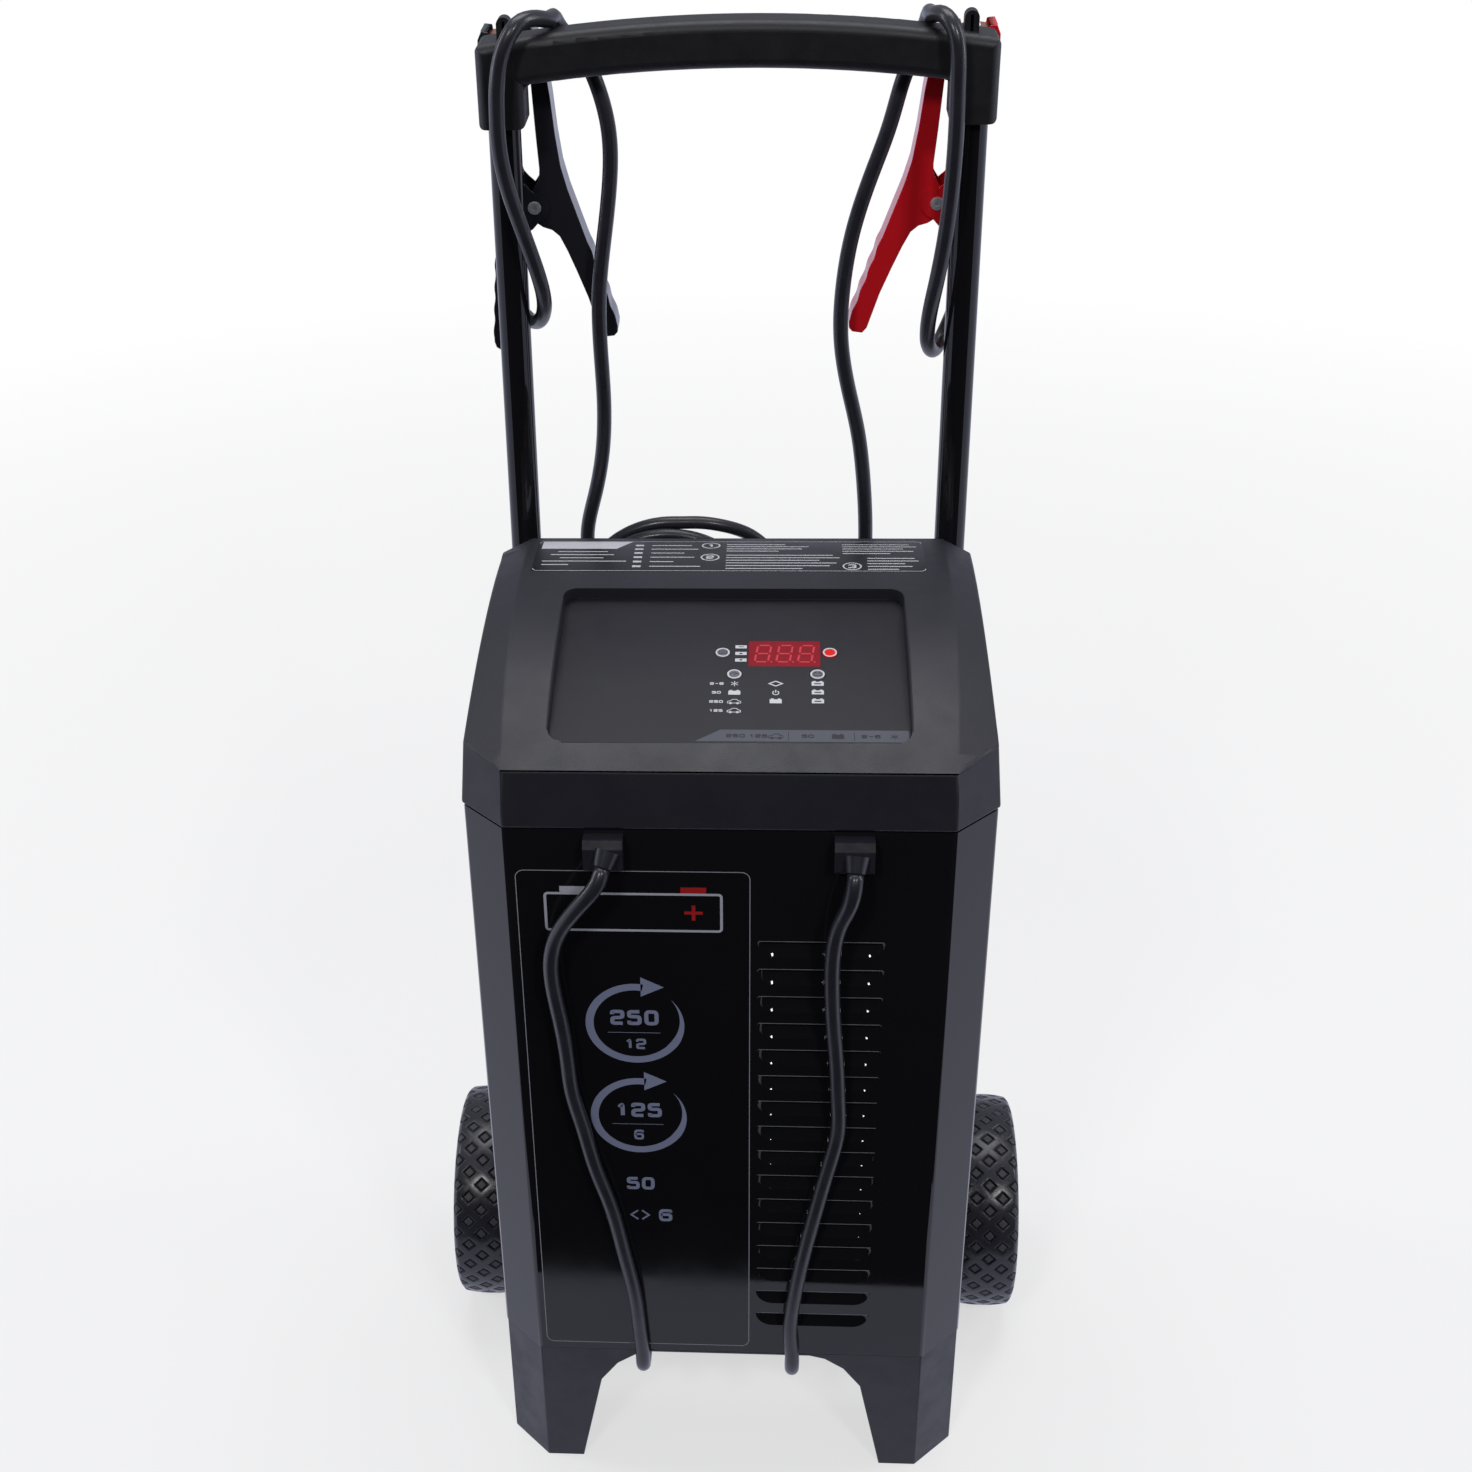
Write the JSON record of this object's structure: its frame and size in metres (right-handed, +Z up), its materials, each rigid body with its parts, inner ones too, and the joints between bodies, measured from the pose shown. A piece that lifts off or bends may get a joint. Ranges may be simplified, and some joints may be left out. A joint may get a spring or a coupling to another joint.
{
  "type": "wheeled battery charger",
  "caption": "Upright battery charger cabinet on two wheels with a tall handle, sloping control cover, louvred front, parked battery clamps and a coiled mains lead.",
  "frame": {"origin": "on the floor, under the middle of the bounding box of the charger without its cords", "axes": "+X to the right seen from the front, +Y from the front face to the back, +Z up"},
  "size_m": [0.3834, 0.3304, 0.8648],
  "materials": {
    "cabinet_paint": "gloss black paint on sheet steel",
    "cover_plastic": "charcoal moulding with a fine grain",
    "overlay_film": "satin printed film, dark grey",
    "red_window": "tinted red filter",
    "display_red": "dark digit block",
    "start_red": "red key cap",
    "key_grey": "dark grey key cap",
    "lamp_clear": "clear lamp",
    "circuit_board": "green board",
    "inner_black": "black moulding",
    "core_steel": "varnished laminations",
    "copper": "bare copper",
    "zinc_steel": "zinc-plated steel",
    "aluminium": "mill finish",
    "bracket_paint": "satin black paint",
    "tyre_rubber": "black rubber with a lozenge tread",
    "hub_plastic": "black moulded hub",
    "tube_paint": "gloss black powder coat",
    "grip_plastic": "black moulded grip",
    "cable_rubber": "black flexible jacket",
    "strap_black": "black strap",
    "clamp_black": "gloss black paint on pressed steel",
    "clamp_red": "gloss red paint on pressed steel",
    "rivet_steel": "bright rivet",
    "spring_steel": "oiled spring wire"
  },
  "bodies": {
    "charger": {"case_wrapper": "cabinet_paint", "case_floor": "cabinet_paint", "rear_panel": "cabinet_paint", "top_cover": "cover_plastic", "control_overlay": "overlay_film", "display_window": "red_window", "display_module": "display_red", "indicator_lamps": "lamp_clear", "control_board": "circuit_board", "tact_switches": "inner_black", "transformer_core": "core_steel", "transformer_winding": "copper", "transformer_frame": "zinc_steel", "rectifier_plate": "aluminium", "rectifier_diodes": "zinc_steel", "fan_frame": "inner_black", "circuit_breaker": "inner_black", "start_relay": "inner_black", "foot_bracket": "bracket_paint", "axle": "zinc_steel", "axle_brackets": "bracket_paint", "wheel_spacers": "zinc_steel", "hub_caps": "zinc_steel", "left_tube": "tube_paint", "right_tube": "tube_paint", "handle_grip": "grip_plastic", "left_socket": "grip_plastic", "right_socket": "grip_plastic", "tube_saddles": "bracket_paint", "fixing_screws": "zinc_steel", "left_relief": "cable_rubber", "right_relief": "cable_rubber", "left_battery_cable": "cable_rubber", "right_battery_cable": "cable_rubber", "mains_relief": "cable_rubber", "mains_lead": "cable_rubber", "mains_coil": "cable_rubber", "mains_tail": "cable_rubber", "mains_plug": "cable_rubber", "cord_tie": "strap_black", "cord_hook": "bracket_paint", "black_fixed_lever": "clamp_black", "red_fixed_lever": "clamp_red", "fixed_jaw_plates": "copper", "clamp_rivets": "rivet_steel", "clamp_springs": "spring_steel"},
    "left_wheel": {"left_tyre": "tyre_rubber", "left_hub": "hub_plastic"},
    "right_wheel": {"right_tyre": "tyre_rubber", "right_hub": "hub_plastic"},
    "fan": {"fan_rotor": "inner_black"},
    "start_key": {"start_button": "start_red"},
    "readout_key": {"readout_button": "key_grey"},
    "rate_key": {"rate_button": "key_grey"},
    "battery_key": {"battery_button": "key_grey"},
    "black_clamp_lever": {"black_lever": "clamp_black", "black_jaw_plate": "copper"},
    "red_clamp_lever": {"red_lever": "clamp_red", "red_jaw_plate": "copper"}
  },
  "joints": [
    {"name": "left_wheel_spin", "type": "hinge", "parent": "charger", "child": "left_wheel", "pos_m": [-0.1717, 0.03, 0.073], "axis": [1, 0, 0], "continuous": true},
    {"name": "right_wheel_spin", "type": "hinge", "parent": "charger", "child": "right_wheel", "pos_m": [0.1717, 0.03, 0.073], "axis": [1, 0, 0], "continuous": true},
    {"name": "fan_spin", "type": "hinge", "parent": "charger", "child": "fan", "pos_m": [0.05, 0.073, 0.33], "axis": [0, 1, 0], "continuous": true},
    {"name": "start_press", "type": "slide", "parent": "charger", "child": "start_key", "axis": [0, 0.1736, -0.9848], "range_m": [0, 0.0005], "stiffness_N_per_m": 1200, "springref_m": -0.0005},
    {"name": "readout_press", "type": "slide", "parent": "charger", "child": "readout_key", "axis": [0, 0.1736, -0.9848], "range_m": [0, 0.0005], "stiffness_N_per_m": 1200, "springref_m": -0.0005},
    {"name": "rate_press", "type": "slide", "parent": "charger", "child": "rate_key", "axis": [0, 0.1736, -0.9848], "range_m": [0, 0.0005], "stiffness_N_per_m": 1200, "springref_m": -0.0005},
    {"name": "battery_press", "type": "slide", "parent": "charger", "child": "battery_key", "axis": [0, 0.1736, -0.9848], "range_m": [0, 0.0005], "stiffness_N_per_m": 1200, "springref_m": -0.0005},
    {"name": "black_clamp_open", "type": "hinge", "parent": "charger", "child": "black_clamp_lever", "pos_m": [-0.11887, 0.15, 0.74611], "axis": [0, 1, 0], "range_deg": [0, 8], "stiffness_Nm_per_rad": 4, "springref_deg": -14.32},
    {"name": "red_clamp_open", "type": "hinge", "parent": "charger", "child": "red_clamp_lever", "pos_m": [0.11599, 0.15, 0.74649], "axis": [0, -1, 0], "range_deg": [0, 8], "stiffness_Nm_per_rad": 4, "springref_deg": -14.32}
  ]
}
